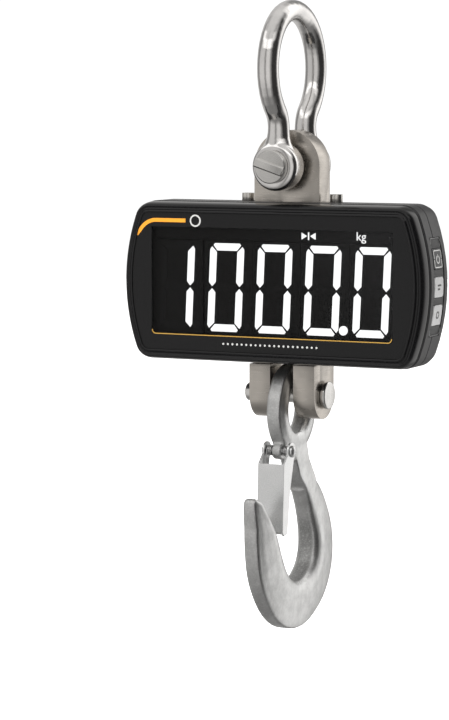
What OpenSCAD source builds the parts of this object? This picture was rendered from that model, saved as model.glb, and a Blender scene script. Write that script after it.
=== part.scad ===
// Crane scale with a large display: bow shackle, load cell, housing and safety hook.
// Origin at the inside of the shackle's crown, +Z up, the display faces -Y.

/* [Shackle] */
// Diameter of the bow's bar
bar_d = 17; // [15:0.5:18]
// Radius of the crown, to the middle of the bar
crown_r = 45; // [42:1:50]
// Distance from the inside of the crown down to the shackle pin
pin_drop = 112.5; // [108:0.5:118]
// Diameter of the shackle pin
shackle_pin_d = 19; // [17:0.5:20]
// Inside width between the shackle's two ears
jaw_w = 35; // [33:0.5:38]

/* [Load cell] */
// Width of the load cell's plate
cell_w = 56; // [52:1:60]
// Thickness of the load cell's plate
cell_t = 20; // [18:1:22]
// Distance between the shackle pin and the hook pin
pin_pitch = 180; // [176:1:184]
// Depth of the fork's lugs, front to back
fork_t = 38; // [36:1:40]
// Gap between the fork's two lugs
fork_gap = 20; // [19:0.5:22]
// Diameter of the hook pin
hook_pin_d = 14.5; // [13:0.5:16]

/* [Housing] */
// Width of the housing at the middle of its bulged sides
case_w = 258; // [250:1:266]
// Height of the housing
case_h = 126; // [122:1:130]
// Wall thickness of the two shells
wall = 2.5; // [2:0.1:3]
// Radius of the bulged sides
side_r = 156; // [140:1:200]
// Radius of the four corners
corner_r = 15; // [12:1:18]

/* [Display] */
// Height of a digit
digit_h = 69.4; // [66:0.2:72]
// Width of a digit
digit_w = 29.4; // [28:0.1:32]
// Distance between two digits
digit_pitch = 41.4; // [40:0.1:42]
// Stroke width of a segment
stroke = 5.7; // [5:0.1:7.2]
// Slant of the digits
slant = 2.5; // [0:0.1:4]

/* [Keys] */
// Height of a key
key_h = 15.6; // [14:0.2:17]
// Width of a key, front to back
key_w = 17; // [15:0.2:18]
// Distance between two keys
key_pitch = 21.6; // [20:0.2:23]
// Travel of a key
key_travel = 1; // [0.6:0.1:1.1]

/* [Hook] */
// Inside radius of the hook's eye
eye_r = 19; // [18:0.5:20]
// Outside radius of the hook's eye
eye_outer_r = 35.5; // [34:0.5:36]
// Thickness of the hook's eye
eye_t = 16; // [15:0.5:17]
// Width over the latch's side walls
latch_w = 22.6; // [22:0.2:24]

/* [Hidden] */
$fn = 64;

// Heights of the main axes
shackle_z = -pin_drop;
hook_z = shackle_z - pin_pitch;
case_z = shackle_z - 91;
case_top = case_z + case_h / 2;
case_bottom = case_z - case_h / 2;

// Shackle
crown_z = -(crown_r - bar_d / 2);
leg_y = 25;
bend_drop = 47;
bend_r = (bend_drop * bend_drop / (crown_r - leg_y) - crown_r - leg_y) / 2;
bend_angle = atan2(bend_drop, leg_y + bend_r);
ear_r = 19;
ear_t = 19;
ear_out = jaw_w / 2 + ear_t;
pin_play = 0.06;

// Load cell
pocket_r = 15;
pocket_depth = 6.5;
pocket_z = case_z + 2;
fork_top = case_bottom - 1.2;
slot_top_z = case_bottom + 4;
set_screw_x = -(cell_w / 2 + fork_gap / 2) / 2;

// Housing, front to back
window_y = -41.5;
window_inset = 8.8;
bezel_back = -26.5;
parting_y = -13;
full_back = 3;
back_y = 35;
side_x = case_w / 2 - side_r;

// Keypad
panel_y = parting_y + 3;
panel_w = 21;
panel_h = 76;
key_zs = [case_z + key_pitch, case_z, case_z - key_pitch];
key_back = case_w / 2 - 6.1;

// Hook
eye_centre_z = hook_z + hook_pin_d / 2 + 0.4 - eye_r;
bowl_y = 0;
bowl_z = eye_centre_z - 107.2;
rivet_y = -23.5;
rivet_z = eye_centre_z - 31.6;
rivet_d = 5;
sheet = 1.6;

// ---------- general shapes ----------

// A cylinder along X or Y, centred on its middle
module bar_x(d, len) rotate([0, 90, 0]) cylinder(d = d, h = len, center = true);
module bar_y(d, len) rotate([90, 0, 0]) cylinder(d = d, h = len, center = true);

// A box given by its middle and its size
module block(mid, size) translate(mid) cube(size, center = true);

// The housing's outline in X and Z, moved inwards by d: bulged sides and round corners
function arc_points(cx, cz, r, a0, a1, n) =
  [for (i = [0:n]) let (a = a0 + (a1 - a0) * i / n) [cx + r * cos(a), cz + r * sin(a)]];
function quarter(d) =
  let (rf = max(corner_r - d, 3), big = side_r - d, zf = case_h / 2 - d - rf)
  let (xf = side_x + sqrt(pow(big - rf, 2) - zf * zf), turn = asin(zf / (big - rf)))
  concat(arc_points(side_x, 0, big, 0, turn, 5), arc_points(xf, zf, rf, turn + 12, 90, 6));
function flip(points, sx, sz) = [for (p = points) [sx * p[0], sz * p[1]]];
function backwards(list) = [for (i = [len(list) - 1:-1:0]) list[i]];
function but_first(list) = [for (i = [1:len(list) - 1]) list[i]];
function outline(d) = concat(
  quarter(d), backwards(flip(quarter(d), -1, 1)),
  but_first(flip(quarter(d), -1, -1)), but_first(backwards(flip(quarter(d), 1, -1))));

// A prism of the outline between two depths
module slab(y0, y1, d)
  translate([0, y1, case_z]) rotate([90, 0, 0]) linear_extrude(y1 - y0) polygon(outline(d));

// Skins a list of [y, inset] levels. A ring joins the last level to the first,
// and otherwise the two ends are capped.
module loft(levels, ring = false) {
  rows = [for (l = levels) outline(l[1])];
  n = len(rows[0]);
  m = len(levels);
  points = [for (j = [0:m - 1]) for (p = rows[j]) [p[0], levels[j][0], p[1] + case_z]];
  last = ring ? m - 1 : m - 2;
  walls = [for (j = [0:last]) for (i = [0:n - 1])
    [j * n + i, j * n + (i + 1) % n, ((j + 1) % m) * n + (i + 1) % n, ((j + 1) % m) * n + i]];
  caps = ring ? [] : [[for (i = [n - 1:-1:0]) i], [for (i = [0:n - 1]) (m - 1) * n + i]];
  polyhedron(points, concat(walls, caps), convexity = 8);
}

// ---------- shackle ----------

module ring_arc(r, d, angle) rotate_extrude(angle = angle) translate([r, 0]) circle(d = d);

// Middle line of the bow in Y and Z: up the front leg, round the crown, down the rear leg
bend_y = leg_y + bend_r;
bend_z = crown_z - bend_drop;
leg_line = [for (i = [0:1]) [leg_y, shackle_z + 8 + i * (bend_z - shackle_z - 12)]];
bend_line = arc_points(bend_y, bend_z, bend_r, 180, 180 - bend_angle, 6);
crown_line = arc_points(0, crown_z, crown_r, -bend_angle + 5, 90, 16);
half_line = concat(leg_line, bend_line, crown_line);
bow_line = concat(half_line, but_first(backwards(flip(half_line, -1, 1))));

// A round bar swept along a line in Y and Z
module swept_bar(line, d, sides) {
  m = len(line);
  ahead = [for (i = [0:m - 1]) line[min(i + 1, m - 1)] - line[max(i - 1, 0)]];
  points = [for (i = [0:m - 1]) let (n = [ahead[i][1], -ahead[i][0]] / norm(ahead[i]))
    for (k = [0:sides - 1]) let (a = 360 * k / sides, c = d / 2 * cos(a))
      [d / 2 * sin(a), line[i][0] + c * n[0], line[i][1] + c * n[1]]];
  walls = [for (j = [0:m - 2]) for (k = [0:sides - 1])
    [j * sides + k, j * sides + (k + 1) % sides, (j + 1) * sides + (k + 1) % sides, (j + 1) * sides + k]];
  polyhedron(points, concat(walls, [[for (k = [sides - 1:-1:0]) k],
    [for (k = [0:sides - 1]) (m - 1) * sides + k]]), convexity = 6);
}

module ear() translate([0, ear_out, shackle_z]) rotate([90, 0, 0]) rotate_extrude()
  polygon([[0, 0], [ear_r - 4, 0], [ear_r - 1.4, 1.2], [ear_r, 4],
    [ear_r, ear_t - 2], [ear_r - 0.6, ear_t - 0.6], [ear_r - 2, ear_t], [0, ear_t]]);

module shackle_bow() color([0.78, 0.78, 0.78]) difference() {
  union() {
    swept_bar(bow_line, bar_d, 24);
    ear();
    mirror([0, 1, 0]) ear();
  }
  translate([0, 0, shackle_z]) bar_y(shackle_pin_d + 2 * pin_play, 2 * ear_out + 20);
}

// The pin with its round head and the raised bar that turns it
module shackle_pin() color([0.74, 0.73, 0.71]) translate([0, 0, shackle_z]) {
  head_t = 6;
  reach = ear_out + 3;
  rotate([90, 0, 0]) rotate_extrude() polygon([
    [0, -reach], [shackle_pin_d / 2 - 1.5, -reach], [shackle_pin_d / 2, -reach + 1.5],
    [shackle_pin_d / 2, ear_out + 0.1], [12.4, ear_out + 0.1], [13, ear_out + 0.7],
    [13, ear_out + head_t - 0.8], [12.2, ear_out + head_t], [0, ear_out + head_t]]);
  rotate([0, 18, 0]) translate([0, -ear_out - head_t + 0.5, 0]) rotate([90, 0, 0]) difference() {
    translate([-12, -3.7, 0]) cube([24, 7.4, 3.6]);
    for (s = [-1, 1]) translate([0, s * 3.7, 3.6]) rotate([45, 0, 0]) cube([26, 1.6, 1.6], center = true);
  }
}

// ---------- load cell ----------

module load_cell() color([0.68, 0.65, 0.6]) difference() {
  union() {
    translate([0, 0, shackle_z]) bar_y(cell_w, cell_t);
    block([0, 0, (shackle_z + fork_top) / 2 - 5], [cell_w, cell_t, shackle_z - fork_top + 10]);
    difference() {
      union() {
        block([0, 0, (fork_top - 0.5 + hook_z) / 2], [cell_w, fork_t, fork_top - 0.5 - hook_z]);
        translate([0, 0, hook_z]) bar_x(fork_t, cell_w);
      }
      // sloped shoulders where the fork is thicker than the plate
      for (s = [-1, 1]) translate([0, s * fork_t / 2, fork_top - 0.5]) rotate([s * -24, 0, 0])
        translate([0, s * 2, 4]) cube([cell_w + 2, 30, 8], center = true);
    }
  }
  translate([0, 0, shackle_z]) bar_y(shackle_pin_d + 2 * pin_play, fork_t);
  translate([0, 0, hook_z]) bar_x(hook_pin_d + 0.1, cell_w + 10);
  translate([0, 0, slot_top_z]) bar_y(fork_gap, fork_t + 4);
  block([0, 0, slot_top_z - 40], [fork_gap, fork_t + 4, 80]);
  for (s = [-1, 1]) {
    translate([0, s * (cell_t / 2 - pocket_depth / 2 + 0.5), pocket_z]) bar_y(2 * pocket_r, pocket_depth + 1);
    for (dz = [-7, 7]) translate([s * cell_w / 2, 0, case_top - 22 + dz]) bar_x(4, 14);
  }
  translate([set_screw_x, fork_t / 4 + 2, hook_z]) bar_y(5.1, fork_t / 2);
  // way out for the cable, from the rear pocket to the plate's left edge
  translate([-cell_w / 4, cell_t / 2 - 3.6, pocket_z]) bar_x(3.4, cell_w / 2 + 2);
}

// Two foil gauges on the floor of each pocket
module strain_gauges() color([0.85, 0.6, 0.25])
  for (s = [-1, 1]) for (dx = [-5, 5])
    block([dx, s * (cell_t / 2 - pocket_depth + 0.16), pocket_z], [6, 0.3, 9]);

module gauge_covers() color([0.7, 0.7, 0.7])
  for (s = [-1, 1]) translate([0, s * (cell_t / 2 - 0.75), pocket_z]) bar_y(2 * pocket_r - 0.06, 1.5);

// The shielded cable runs out of the plate's edge, bends back and ends on the main board
module cell_cable() color([0.2, 0.2, 0.2]) {
  wire = 2.6;
  y0 = cell_t / 2 - 3.6;
  bend = 6;
  turn_x = -44;
  translate([(turn_x - 14) / 2, y0, pocket_z]) bar_x(wire, -14 - turn_x);
  translate([turn_x, y0 + bend, pocket_z]) rotate([0, 0, 180]) ring_arc(bend, wire, 90);
  translate([turn_x - bend, (y0 + bend + board_face) / 2, pocket_z]) bar_y(wire, board_face - y0 - bend);
}

module hook_pin() color([0.75, 0.74, 0.72]) translate([0, 0, hook_z]) {
  half = cell_w / 2;
  rotate([0, 90, 0]) rotate_extrude() polygon([
    [0, -half - 10], [hook_pin_d / 2 - 1, -half - 10], [hook_pin_d / 2, -half - 9],
    [hook_pin_d / 2, half + 0.2], [9.4, half + 0.2], [9.4, half + 1.7], [11, half + 1.7],
    [11, half + 4.6], [10.2, half + 5.2], [0, half + 5.2]]);
}

// Grub screw in the back of the left lug, its point in the hook pin's groove
module pin_set_screw() color([0.2, 0.2, 0.2]) translate([set_screw_x, 0, hook_z]) difference() {
  translate([0, (fork_t / 2 - 1 + hook_pin_d / 2 + 0.4) / 2, 0])
    bar_y(5, fork_t / 2 - 1 - hook_pin_d / 2 - 0.4);
  translate([0, fork_t / 2 - 1, 0]) rotate([90, 0, 0]) cylinder(d = 2.9, h = 5, center = true, $fn = 6);
}

// ---------- housing ----------

// The slots that the load cell passes through, top and bottom
module cell_openings() {
  block([0, 0, case_top], [cell_w + 1.6, cell_t + 1.6, 24]);
  block([0, 0, case_bottom], [cell_w + 2, cell_t + 2, 24]);
}

module front_bezel() color([0.05, 0.05, 0.06]) loft([
  [window_y, window_inset], [window_y - 0.9, window_inset - 0.5], [window_y - 0.9, window_inset - 1.5],
  [window_y + 0.6, window_inset - 2.6], [window_y + 0.9, window_inset - 4], [window_y + 0.2, window_inset - 4.8],
  [window_y + 0.8, window_inset - 6], [window_y + 3.4, window_inset - 7.4], [window_y + 7.5, 0.75],
  [window_y + 11.6, 0.35], [window_y + 12.6, 1.5], [bezel_back - 0.6, 1.5], [bezel_back - 0.6, 4.5],
  [window_y + 6, 5.5], [window_y + 3.6, window_inset + 2], [window_y + 2.2, window_inset + 2],
  [window_y + 2.2, window_inset]], ring = true);

// The front shell carries the bezel, the display board's seat and the screw bosses
module front_housing() color([0.07, 0.07, 0.08]) difference() {
  union() {
    loft([[bezel_back - 0.5, 1.4], [bezel_back + 0.4, 0], [parting_y - 0.6, 0], [parting_y, 0.5],
      [parting_y, wall], [bezel_back + 1.4, wall + 0.6], [bezel_back + 1.4, 12],
      [bezel_back - 0.5, 12]], ring = true);
    for (sx = [-1, 1]) block([sx * 102, bezel_back + 0.4, case_z], [34, 1.8, 88]);
    for (p = cover_screw_places()) translate([p[0], (boss_y + bezel_back) / 2, p[1]])
      bar_y(8, boss_y - bezel_back);
  }
  for (p = cover_screw_places()) translate([p[0], boss_y, p[1]]) bar_y(3.3, 30);
  cell_openings();
  panel_recess();
}

// The rear shell: a shallow bowl with pillars over the front shell's bosses
module rear_housing() color([0.07, 0.07, 0.08]) difference() {
  union() {
    loft([[back_y - wall, 26], [30.8, 21.5], [25.5, 14.6], [18, 8.4], [9.5, 4.2], [full_back, wall],
      [parting_y, wall], [parting_y, 0.5], [parting_y + 0.6, 0], [full_back, 0], [10.5, 1.6],
      [19.5, 5.8], [27.5, 12], [33, 18.8], [back_y, 24]]);
    for (p = cover_screw_places()) translate([p[0], (boss_y + 0.2 + back_y - 1) / 2, p[1]])
      bar_y(9, back_y - 1 - boss_y - 0.2);
  }
  cell_openings();
  panel_recess();
  battery_window();
  for (p = cover_screw_places()) {
    translate([p[0], back_y, p[1]]) bar_y(3.6, 60);
    translate([p[0], back_y, p[1]]) bar_y(7, 5);
  }
  translate([socket_x, back_y, socket_z]) bar_y(11.2, 12);
  for (s = [-1, 1]) translate([s * 38, 0, case_top]) cylinder(d = 6.4, h = 20, center = true);
}

module panel_recess() block([case_w / 2, panel_y, case_z], [12, panel_w + 0.4, panel_h + 0.4]);
socket_x = -68;
socket_z = case_z - 29;
module battery_window() block([0, back_y, case_z + 2], [82, 12, 48]);
boss_y = 20;
function cover_screw_places() = [for (sx = [-1, 1]) for (sz = [-1, 1]) [sx * 94, case_z + sz * 32]];

module housing_gasket() color([0.12, 0.12, 0.12]) difference() {
  loft([[parting_y - 1.2, wall + 0.05], [parting_y + 1.2, wall + 0.05], [parting_y + 1.2, wall + 1.6],
    [parting_y - 1.2, wall + 1.6]], ring = true);
  cell_openings();
  block([case_w / 2, parting_y, case_z], [24, 8, panel_h + 2]);
}

module display_window() color([0.1, 0.1, 0.11])
  slab(window_y + 0.1, window_y + 2.1, window_inset + 0.15);

module display_mask() color([0.06, 0.06, 0.06]) difference() {
  slab(window_y + 2.3, window_y + 2.9, window_inset + 2.4);
  block([0, window_y, case_z + 0.8], [206, 20, digit_h + 14.6]);
}

// ---------- display ----------

digit_z = case_z - 4;
first_gap = 1.6;
function digit_x(i) = 1 + (i - 2) * digit_pitch - (i == 0 ? first_gap : 0);
module_y = window_y + 4.6;
board_front = bezel_back - 0.5 - 1.6;

// The seven strokes of a digit, in order: top, upper right, lower right, bottom,
// lower left, upper left, middle
module stroke_shape(k) {
  w = digit_w / 2;
  h = digit_h / 2;
  t = stroke;
  across = [[-w + 4, h], [w - 4, h], [w - 2.9, h - 1.5], [w - t - 0.6, h - t],
    [-w + t + 0.6, h - t], [-w + 2.9, h - 1.5]];
  side = [[w - 1.5, h - 2.7], [w, h - 5], [w, 4.1], [w - t / 2, 0.9], [w - t, 4.1],
    [w - t, h - t - 1.2]];
  middle = [[-w + t / 2 + 0.6, 0], [-w + t + 0.6, t / 2], [w - t - 0.6, t / 2], [w - t / 2 - 0.6, 0],
    [w - t - 0.6, -t / 2], [-w + t + 0.6, -t / 2]];
  if (k == 0) polygon(across);
  if (k == 1) polygon(side);
  if (k == 2) polygon(flip(side, 1, -1));
  if (k == 3) polygon(flip(across, 1, -1));
  if (k == 4) polygon(flip(side, -1, -1));
  if (k == 5) polygon(flip(side, -1, 1));
  if (k == 6) polygon(middle);
}

// Leans a digit to the right and stands it at its place on the modules' front face
module at_digit(i, depth)
  translate([digit_x(i), module_y + 1, digit_z]) rotate([90, 0, 0])
    multmatrix([[1, tan(slant), 0, 0], [0, 1, 0, 0], [0, 0, 1, 0], [0, 0, 0, 1]])
      linear_extrude(depth) children();

// The strokes lit in each digit: 1, 0, 0, 0, 0
lit = [[1, 2], [0, 1, 2, 3, 4, 5], [0, 1, 2, 3, 4, 5], [0, 1, 2, 3, 4, 5], [0, 1, 2, 3, 4, 5]];
dark = [[0, 3, 4, 5, 6], [6], [6], [6], [6]];
point_after = 3;
module point_shape() translate([19.1, -digit_h / 2 + 4.6]) circle(d = 7.2);

module digit_modules() color([0.1, 0.1, 0.1]) for (i = [0:4])
  block([digit_x(i) + 2, module_y + 4.5, digit_z], [digit_pitch - 0.4, 7, digit_h + 4]);
module lit_segments() color([1, 1, 1]) {
  for (i = [0:4]) for (k = lit[i]) at_digit(i, 0.5) stroke_shape(k);
  at_digit(point_after, 0.5) point_shape();
}
module unlit_segments() color([0.12, 0.12, 0.12]) {
  for (i = [0:4]) for (k = dark[i]) at_digit(i, 0.5) stroke_shape(k);
  for (i = [0, 1, 2, 4]) at_digit(i, 0.5) point_shape();
}
module legend_lights() color([0.95, 0.95, 0.95]) for (x = [31, 75])
  block([x, module_y + 4, case_z + 38], [15, 6, 5]);
module display_board() color([0.1, 0.35, 0.15])
  block([0, board_front + 0.8, case_z], [212, 1.6, 104]);
module ir_receiver() color([0.08, 0.08, 0.1]) union() {
  block([100, module_y + 4.4, case_z + 38], [6, 7, 7]);
  translate([100, module_y + 1.2, case_z + 38]) sphere(d = 5);
}

// ---------- electronics and battery ----------

board_y = 17;
board_x = -64;
board_z = case_z + 2;
board_face = board_y - 0.8;
module main_board() color([0.1, 0.35, 0.15]) {
  block([board_x, board_y, board_z], [48, 1.6, 72]);
  block([board_x - 8, board_face - 1.5, board_z + 10], [14, 3, 14]);
  block([board_x, board_face - 2, board_z - 20], [18, 4, 9]);
  for (dz = [-6, 6]) translate([board_x - 17, board_face - 4, board_z - 14 + dz]) bar_y(8, 8);
}
module board_screws() color([0.7, 0.7, 0.7]) for (dx = [-21, 21]) for (dz = [-32, 32])
  translate([board_x + dx, board_face - 1, board_z + dz]) bar_y(5.4, 2);
// Flat ribbon between the two boards
module display_cable() color([0.75, 0.75, 0.75]) {
  from_y = board_front + 1.6;
  to_y = board_face - 4;
  block([board_x, (from_y + to_y) / 2, board_z - 20], [14, to_y - from_y, 0.8]);
}
module battery_pack() color([0.15, 0.3, 0.6]) union() for (dz = [-9.4, 9.4])
  translate([0, 21.4, case_z + 2 + dz]) bar_x(18.6, 70);
module battery_door() color([0.08, 0.08, 0.09]) difference() {
  union() {
    block([0, back_y - 1.2, case_z + 2], [81.4, 2.4, 47.4]);
    block([0, back_y - 3, case_z + 2], [76, 1.6, 43]);
  }
  for (s = [-1, 1]) translate([s * 35, back_y, case_z + 2]) bar_y(3.4, 20);
}
module battery_door_screws() color([0.7, 0.7, 0.7]) for (s = [-1, 1])
  translate([s * 35, 0, case_z + 2]) {
    translate([0, back_y + 0.7, 0]) bar_y(6, 1.4);
    translate([0, back_y - 2.5, 0]) bar_y(3.2, 5.1);
  }
module cover_screws() color([0.7, 0.7, 0.7]) for (p = cover_screw_places())
  translate([p[0], 0, p[1]]) {
    translate([0, back_y + 0.4 - 1.3, 0]) bar_y(6.6, 2.6);
    translate([0, back_y - 12, 0]) bar_y(3.2, 22);
  }

// ---------- what holds the housing on the load cell ----------

bracket_y = -3;
bracket_w = 12;
module mounting_brackets() color([0.6, 0.6, 0.6]) for (s = [-1, 1]) difference() {
  union() {
    block([s * (cell_w / 2 + 1.6), bracket_y, case_top - 19], [3, bracket_w, 32]);
    block([s * (cell_w / 2 + 10), bracket_y, case_top - wall - 2.1], [19.8, bracket_w, 4]);
  }
  translate([s * 38, 0, case_top]) cylinder(d = 5.1, h = 40, center = true);
  for (dz = [-7, 7]) translate([s * cell_w / 2, 0, case_top - 22 + dz]) bar_x(4.3, 14);
}
module bracket_screws() color([0.7, 0.7, 0.7]) for (s = [-1, 1]) for (dz = [-7, 7])
  translate([0, 0, case_top - 22 + dz]) {
    translate([s * (cell_w / 2 + 4.6), 0, 0]) bar_x(7, 2.8);
    translate([s * (cell_w / 2 - 0.5), 0, 0]) bar_x(3.9, 8);
  }
// Two cylinder-head screws stand on the top of the housing
module mounting_screws() color([0.72, 0.7, 0.66]) for (s = [-1, 1])
  translate([s * 38, 0, case_top + 0.05]) difference() {
    union() {
      cylinder(d = 10, h = 6);
      translate([0, 0, -9]) cylinder(d = 5, h = 9.5);
    }
    translate([0, 0, 3]) cylinder(d = 5.7, h = 4, $fn = 6);
  }
module top_seal() color([0.1, 0.1, 0.1]) difference() {
  block([0, 0, case_top - wall - 3.4], [cell_w + 1.2, cell_t + 2.6, 1.4]);
  block([0, 0, case_top], [cell_w + 4, cell_t + 0.1, 24]);
}
module bottom_seal() color([0.1, 0.1, 0.1]) difference() {
  block([0, 0, case_bottom + 9], [cell_w + 6, cell_t + 8, 2]);
  block([0, 0, case_bottom], [cell_w + 0.1, cell_t + 0.1, 24]);
}
module charge_socket() color([0.1, 0.1, 0.1]) translate([socket_x, 0, socket_z]) difference() {
  union() {
    translate([0, back_y - 5, 0]) bar_y(11, 9);
    translate([0, back_y - wall - 0.6, 0]) bar_y(13.5, 0.9);
  }
  translate([0, back_y, 0]) bar_y(5.6, 14);
}
module rating_plate() color([0.7, 0.7, 0.72])
  block([0, back_y + 0.25, case_z - 30], [56, 0.4, 12]);

// ---------- keypad ----------

module keypad_panel() color([0.2, 0.2, 0.2]) difference() {
  intersection() {
    block([case_w / 2 - 3, panel_y, case_z], [6, panel_w, panel_h]);
    slab(-30, 10, 0.7);
  }
  for (z = key_zs) block([case_w / 2, panel_y, z], [14, key_w + 0.5, key_h + 0.5]);
}
module key_board() color([0.1, 0.35, 0.15])
  block([case_w / 2 - 11.2, panel_y, case_z], [1.6, panel_w - 2, panel_h - 8]);
module tact_switches() color([0.25, 0.25, 0.25]) for (z = key_zs) union() {
  block([case_w / 2 - 9.1, panel_y, z], [2.6, 6, 6]);
  translate([key_back - key_travel - 0.5, panel_y, z]) bar_x(3.2, 0.8);
}
// A key: a rounded cap that follows the side's bulge, on a flanged body inside the panel
module key_cap(z) intersection() {
  union() {
    block([case_w / 2 - 2.6, panel_y, z], [5.4, key_w, key_h]);
    translate([key_back + 0.5, panel_y, z]) bar_x(4, 1);
  }
  slab(-30, 10, 0.1);
}
module key_power() color([0.12, 0.12, 0.12]) key_cap(key_zs[0]);
module key_hold() color([0.75, 0.75, 0.75]) key_cap(key_zs[1]);
module key_zero() color([0.75, 0.75, 0.75]) key_cap(key_zs[2]);

// ---------- hook ----------

// The hook's outside and inside, as radii from the middle of its bowl. Angles run
// from the neck (-72) under the bowl (90) to the point (205).
outside = [[-74, 62], [-60, 59.5], [-40, 60.5], [-20, 63.5], [0, 69], [20, 73.2], [40, 73.6],
  [60, 71], [90, 69.3], [120, 68.6], [145, 69.6], [165, 72.6], [182, 75], [195, 78.8], [203, 84.6],
  [208, 88.4], [209.6, 88.4], [210.8, 86.8], [211.4, 84.4]];
inside = [[-90, 47], [-74, 41], [-60, 34], [-40, 28.5], [-20, 27], [0, 28], [20, 29.6], [40, 30.4],
  [60, 30.4], [90, 30.2], [120, 30], [145, 30.4], [165, 32.2], [182, 36.5], [190, 40.5], [196, 45],
  [201, 51.5], [205, 60.5], [208, 70], [209.6, 74.4], [210.8, 77.2], [211.4, 79.8]];
// Half of the greatest thickness across X, along the hook
fatness = [[-74, 8], [-40, 8.6], [0, 10.2], [60, 11], [120, 11], [165, 10.8], [195, 10.2],
  [206, 8.8], [209.6, 7.6], [210.8, 6.2], [211.4, 4.2]];
// Angles of the sections, closer together at the point
stations = concat([for (a = [-74:6:190]) a], [195, 199, 202, 205, 207, 208.6, 209.6, 210.3, 210.9, 211.4]);

// Smooth value between the rows of a table
function row_before(a, t, i = 0) = i >= len(t) - 2 || a < t[i + 1][0] ? i : row_before(a, t, i + 1);
function soft(a, t) =
  let (i = row_before(a, t), n = len(t), p0 = t[max(i - 1, 0)][1], p1 = t[i][1])
  let (p2 = t[min(i + 1, n - 1)][1], p3 = t[min(i + 2, n - 1)][1])
  let (u = min(max((a - t[i][0]) / (t[min(i + 1, n - 1)][0] - t[i][0]), 0), 1))
  0.5 * (2 * p1 + (p2 - p0) * u + (2 * p0 - 5 * p1 + 4 * p2 - p3) * u * u
    + (3 * p1 - p0 - 3 * p2 + p3) * u * u * u);

// Half section of the forging: [place from inside to outside, share of the greatest thickness]
half_section = [[0, 0.3], [0.03, 0.62], [0.1, 0.87], [0.2, 0.98], [0.32, 1], [0.55, 0.89],
  [0.78, 0.75], [0.94, 0.6], [1, 0.5]];
section = concat(half_section, [for (i = [len(half_section) - 1:-1:0]) [half_section[i][0], -half_section[i][1]]]);

module hook_body() {
  n = len(section);
  last = len(stations) - 1;
  points = [for (a = stations) let (ri = soft(a, inside), ro = soft(a, outside), w = soft(a, fatness))
    for (s = section) let (r = ri + (ro - ri) * s[0]) [s[1] * w, bowl_y + r * cos(a), bowl_z - r * sin(a)]];
  walls = [for (j = [0:last - 1]) for (i = [0:n - 1])
    [j * n + i, j * n + (i + 1) % n, (j + 1) * n + (i + 1) % n, (j + 1) * n + i]];
  polyhedron(points, concat(walls, [[for (i = [n - 1:-1:0]) i], [for (i = [0:n - 1]) last * n + i]]),
    convexity = 8);
}

// The neck, as discs from the latch's lug to the back of the bowl: [y, z below the eye, radius, thickness]
neck = [[rivet_y, 31.6, 6.6, 7], [3, 31, 12, 14], [9, 47, 11, 15], [23, 63, 9.6, 15.6]];
module neck_disc(n) translate([0, n[0], eye_centre_z - n[1]]) rotate([0, 90, 0])
  cylinder(r = n[2], h = n[3], center = true, $fn = 32);

module hook() color([0.62, 0.63, 0.63]) difference() {
  union() {
    translate([0, 0, eye_centre_z]) rotate([0, 90, 0]) rotate_extrude() polygon([
      [eye_r, -4.5], [eye_r + 2.5, -7.4], [eye_r + 5.5, -eye_t / 2], [eye_r + 9.5, -7.8],
      [eye_outer_r, -5.2], [eye_outer_r, 5.2], [eye_r + 9.5, 7.8], [eye_r + 5.5, eye_t / 2],
      [eye_r + 2.5, 7.4], [eye_r, 4.5]]);
    hook_body();
    for (k = [0:2]) hull() {
      neck_disc(neck[k]);
      neck_disc(neck[k + 1]);
    }
  }
  translate([0, rivet_y, rivet_z]) bar_x(rivet_d, 40);
}

module latch_rivet() color([0.72, 0.72, 0.7]) translate([0, rivet_y, rivet_z]) {
  bar_x(rivet_d - 0.1, latch_w + 1);
  for (s = [-1, 1]) translate([s * (latch_w / 2 + 0.2), 0, 0]) rotate([0, s * 90, 0]) rotate_extrude()
    polygon([[0, 0], [4.8, 0], [4.5, 1], [3.4, 2], [1.8, 2.6], [0, 2.8]]);
}

// The latch's outline in Y and Z, measured from the rivet: round at the rivet, then a strip
// that narrows downwards. The web is its front edge, and the inside is cut away behind it.
latch_tilt = 2.6;
latch_len = 66;
web_y = -14.4;
web_top = -9.5;
module latch_side() {
  circle(r = 7);
  rotate(-latch_tilt) polygon([[-4.5, 0.5], [web_y, web_top], [web_y, -latch_len + 3],
    [web_y + 3, -latch_len], [-5, -latch_len + 1.5], [-1.2, -28], [5.5, -0.5]]);
}
module latch() color([0.75, 0.75, 0.75]) translate([0, rivet_y, rivet_z]) difference() {
  rotate([90, 0, 90]) linear_extrude(latch_w, center = true) latch_side();
  rotate([-latch_tilt, 0, 0]) {
    block([0, web_y + sheet + 20, -30], [latch_w - 2 * sheet, 40, 100]);
    block([0, 0, web_top + 20], [latch_w - 2 * sheet, 60, 40]);
  }
  bar_x(rivet_d + 0.1, latch_w + 10);
}

// Torsion spring: a coil round the rivet on each side of the hook's boss, and a leg down the web
module latch_spring() color([0.6, 0.6, 0.62]) translate([0, rivet_y, rivet_z]) for (s = [-1, 1]) {
  for (k = [0:2]) translate([s * (6 + 1.3 * k), 0, 0]) rotate([0, 90, 0])
    rotate_extrude($fn = 32) translate([3.6, 0]) circle(d = 1.2, $fn = 16);
  translate([s * 8.6, 0, 0]) rotate([-latch_tilt - 12, 0, 0]) translate([0, -4.1, -20])
    cylinder(d = 1.1, h = 20, $fn = 16);
}

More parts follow.
